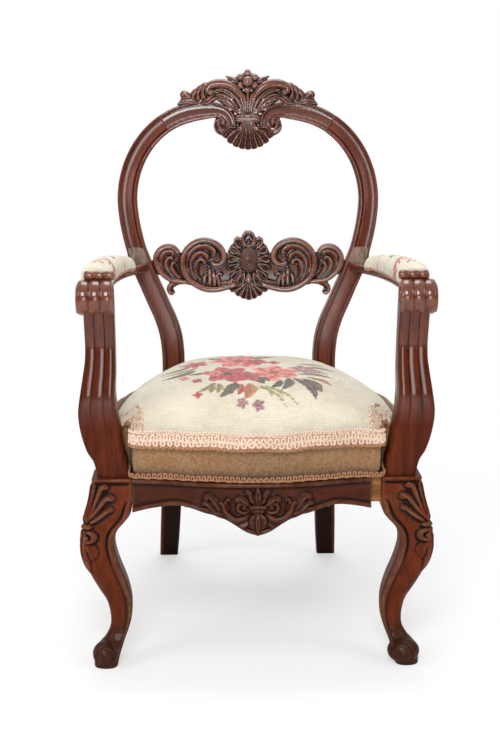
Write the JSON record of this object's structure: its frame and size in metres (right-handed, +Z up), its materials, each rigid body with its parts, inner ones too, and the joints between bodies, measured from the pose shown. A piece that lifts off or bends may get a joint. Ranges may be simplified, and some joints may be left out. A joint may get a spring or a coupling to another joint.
{
  "type": "balloon back open armchair",
  "caption": "Carved wooden open armchair with a rounded open back, scrolled arms, cabriole front legs and a sprung upholstered seat.",
  "frame": {"origin": "on the floor, midway across and midway from front to back of the chair's footprint", "axes": "+X to the right as seen from the front, +Y towards the back, +Z up"},
  "size_m": [0.597, 0.6622, 1.0124],
  "materials": {
    "mahogany": "old polished dark red mahogany, worn lighter on the raised edges",
    "beech": "raw pale secondary wood, seen where the facing is broken away",
    "needlepoint": "wool needlepoint, cream ground with a bouquet of roses, braid along the edges",
    "jute": "plain woven jute webbing and canvas",
    "spring_wire": "coppered steel wire"
  },
  "bodies": {
    "root": {"front_leg_left": "mahogany", "front_leg_right": "mahogany", "back_post_left": "mahogany", "back_post_right": "mahogany", "hoop_side_left": "mahogany", "hoop_side_right": "mahogany", "arm_support_left": "mahogany", "arm_support_right": "mahogany", "arm_left": "mahogany", "arm_right": "mahogany", "front_facing": "mahogany", "splat": "mahogany", "crest_rail": "mahogany", "crest_carving": "mahogany", "front_rail": "beech", "back_rail": "mahogany", "side_rail_left": "mahogany", "side_rail_right": "mahogany", "hoop_lower_dowel_left": "beech", "hoop_lower_dowel_right": "beech", "hoop_upper_dowel_left": "beech", "hoop_upper_dowel_right": "beech", "front_corner_block_left": "beech", "front_corner_block_right": "beech", "rear_corner_block_left": "beech", "rear_corner_block_right": "beech", "web_long_1": "jute", "web_long_2": "jute", "web_long_3": "jute", "web_cross_1": "jute", "web_cross_2": "jute", "web_cross_3": "jute", "hessian": "jute", "spring_1": "spring_wire", "spring_2": "spring_wire", "spring_3": "spring_wire", "spring_4": "spring_wire", "spring_5": "spring_wire", "spring_6": "spring_wire", "spring_7": "spring_wire", "spring_8": "spring_wire", "spring_9": "spring_wire", "seat_cushion": "needlepoint", "arm_pad_left": "needlepoint", "arm_pad_right": "needlepoint"}
  },
  "joints": []
}
